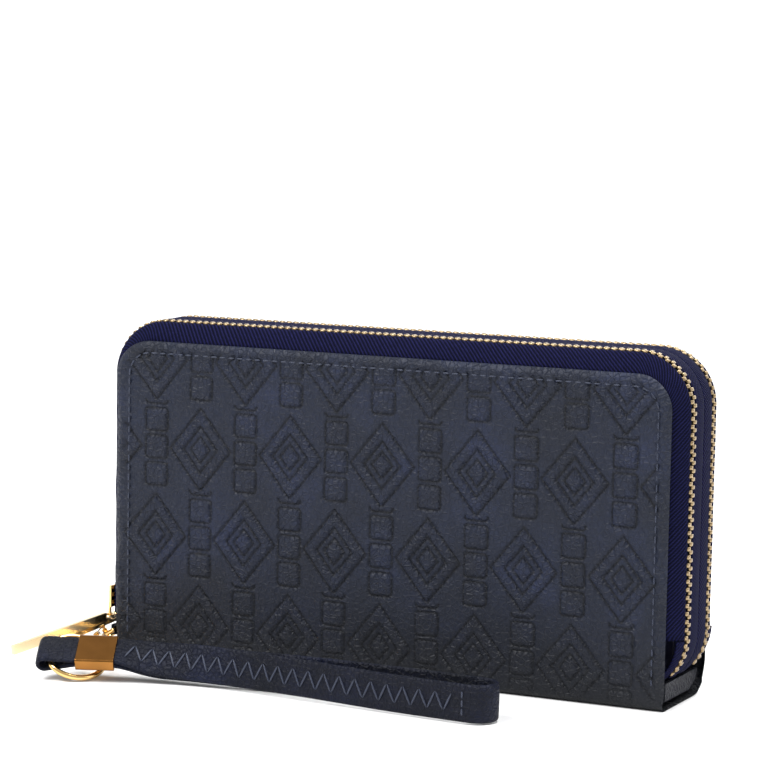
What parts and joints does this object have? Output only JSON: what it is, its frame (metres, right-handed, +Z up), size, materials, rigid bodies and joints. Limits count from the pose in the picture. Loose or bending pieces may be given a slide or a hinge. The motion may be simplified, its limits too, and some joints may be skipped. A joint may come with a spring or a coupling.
{
  "type": "wristlet wallet",
  "caption": "Zip-around wristlet wallet with embossed leather covers, inner card and coin pockets, long zip pulls and a clip-on wrist strap.",
  "frame": {"origin": "on the flat underside the wallet stands on, midway between the left and right ends and midway between the front and rear covers", "axes": "+X to the right along the wallet's width as seen from the front, +Y from the front cover to the rear cover, +Z up"},
  "size_m": [0.2143, 0.0942, 0.1076],
  "materials": {
    "panel_leather": "satin pebbled leather, embossed",
    "strap_leather": "smooth satin leather, stitched",
    "edge_leather": "glossy folded edge leather",
    "lining": "woven lining cloth over board",
    "zip_tape": "fine twill zip tape",
    "zip_teeth": "polished pale gold teeth",
    "gold_metal": "polished light gold plating",
    "pull_metal": "polished champagne gold plating",
    "clamp_metal": "polished amber gold plating"
  },
  "bodies": {
    "wallet_core": {"divider": "lining", "spine": "panel_leather", "end_tab_left": "edge_leather", "end_tab_right": "edge_leather", "front_tape_inner": "zip_tape", "front_teeth_inner": "zip_teeth", "rear_tape_inner": "zip_tape", "rear_teeth_inner": "zip_teeth", "front_tape_end_left": "zip_tape", "front_tape_end_right": "zip_tape", "front_teeth_end_left": "zip_teeth", "front_teeth_end_right": "zip_teeth", "rear_tape_end_left": "zip_tape", "rear_tape_end_right": "zip_tape", "rear_teeth_end_left": "zip_teeth", "rear_teeth_end_right": "zip_teeth", "coin_pocket_wall": "lining", "coin_pocket_band": "lining", "coin_tape_lower": "zip_tape", "coin_tape_upper": "zip_tape", "coin_teeth_lower": "zip_teeth", "coin_teeth_upper": "zip_teeth", "strap_tab": "strap_leather"},
    "front_cover": {"front_panel": "panel_leather", "front_lining": "lining", "front_tape_outer": "zip_tape", "front_teeth_outer": "zip_teeth", "card_pocket_left_1": "lining", "card_pocket_left_2": "lining", "card_pocket_left_3": "lining", "card_pocket_right_1": "lining", "card_pocket_right_2": "lining", "card_pocket_right_3": "lining"},
    "rear_cover": {"rear_panel": "panel_leather", "rear_lining": "lining", "rear_tape_outer": "zip_tape", "rear_teeth_outer": "zip_teeth", "rear_note_pocket": "lining"},
    "front_slider": {"slider_front": "gold_metal"},
    "rear_slider": {"slider_rear": "gold_metal"},
    "front_link": {"link_front": "gold_metal"},
    "rear_link": {"link_rear": "gold_metal"},
    "front_pull": {"pull_bar_front": "pull_metal"},
    "rear_pull": {"pull_bar_rear": "pull_metal"},
    "coin_slider": {"coin_slider": "gold_metal"},
    "coin_pull": {"coin_pull": "gold_metal"},
    "d_ring": {"d_ring": "gold_metal"},
    "snap_hook": {"hook_body": "gold_metal"},
    "hook_gate": {"hook_gate": "gold_metal"},
    "hook_swivel": {"hook_swivel": "gold_metal"},
    "strap_ring": {"strap_ring": "gold_metal"},
    "wrist_strap": {"strap_clamp": "clamp_metal", "strap_fold": "strap_leather", "strap_front_run": "strap_leather", "strap_back_run": "strap_leather", "strap_end_bend": "strap_leather"}
  },
  "joints": [
    {"name": "front_cover_opens", "type": "hinge", "parent": "wallet_core", "child": "front_cover", "pos_m": [0, -0.0171, 0.0024], "axis": [1, 0, 0], "range_deg": [0, 50]},
    {"name": "rear_cover_opens", "type": "hinge", "parent": "wallet_core", "child": "rear_cover", "pos_m": [0, 0.0171, 0.011], "axis": [-1, 0, 0], "range_deg": [0, 50]},
    {"name": "front_slider_runs", "type": "slide", "parent": "wallet_core", "child": "front_slider", "axis": [0, 0, 1], "range_m": [0, 0.068]},
    {"name": "front_link_swings", "type": "hinge", "parent": "front_slider", "child": "front_link", "pos_m": [-0.10053, -0.0112, 0.0146], "axis": [0, 1, 0], "range_deg": [0, 70]},
    {"name": "front_pull_swings", "type": "hinge", "parent": "front_link", "child": "front_pull", "pos_m": [-0.10053, -0.0131, 0.00925], "axis": [0, 0.534, -0.8455], "range_deg": [0, 50]},
    {"name": "rear_slider_runs", "type": "slide", "parent": "wallet_core", "child": "rear_slider", "axis": [0, 0, 1], "range_m": [0, 0.068]},
    {"name": "rear_link_swings", "type": "hinge", "parent": "rear_slider", "child": "rear_link", "pos_m": [-0.10053, 0.0065, 0.0146], "axis": [0, 1, 0], "range_deg": [0, 70]},
    {"name": "rear_pull_swings", "type": "hinge", "parent": "rear_link", "child": "rear_pull", "pos_m": [-0.10053, 0.0046, 0.00925], "axis": [0, 0.534, -0.8455], "range_deg": [0, 50]},
    {"name": "coin_slider_runs", "type": "slide", "parent": "wallet_core", "child": "coin_slider", "axis": [1, 0, 0], "range_m": [0, 0.14]},
    {"name": "coin_pull_swings", "type": "hinge", "parent": "coin_slider", "child": "coin_pull", "pos_m": [-0.07, 0.0059, 0.074], "axis": [1, 0, 0], "range_deg": [0, 25]},
    {"name": "d_ring_lifts", "type": "hinge", "parent": "wallet_core", "child": "d_ring", "pos_m": [-0.0974, -0.0112, 0.0052], "axis": [0, -1, 0], "range_deg": [-7, 0]},
    {"name": "hook_lifts", "type": "hinge", "parent": "d_ring", "child": "snap_hook", "pos_m": [-0.1, -0.0164, 0.0037], "axis": [0.8907, 0.4546, 0], "range_deg": [-20, 0]},
    {"name": "gate_opens", "type": "hinge", "parent": "snap_hook", "child": "hook_gate", "pos_m": [-0.09014, -0.03853, 0.00846], "axis": [-0.7477, -0.4401, -0.4973], "range_deg": [0, 9], "stiffness_Nm_per_rad": 0.01},
    {"name": "swivel_turns", "type": "hinge", "parent": "snap_hook", "child": "hook_swivel", "pos_m": [-0.08067, -0.05428, 0.00816], "axis": [0.4521, -0.8859, 0.1042], "continuous": true},
    {"name": "ring_tips_in_eye", "type": "hinge", "parent": "hook_swivel", "child": "strap_ring", "pos_m": [-0.08067, -0.05428, 0.00816], "axis": [-0.8575, 0.147, 0.4931], "range_deg": [-25, 0]},
    {"name": "strap_slides_round_ring", "type": "hinge", "parent": "strap_ring", "child": "wrist_strap", "pos_m": [-0.08336, -0.06269, 0.00598], "axis": [-0.4209, 0.3508, -0.8365], "range_deg": [-9, 0]}
  ]
}
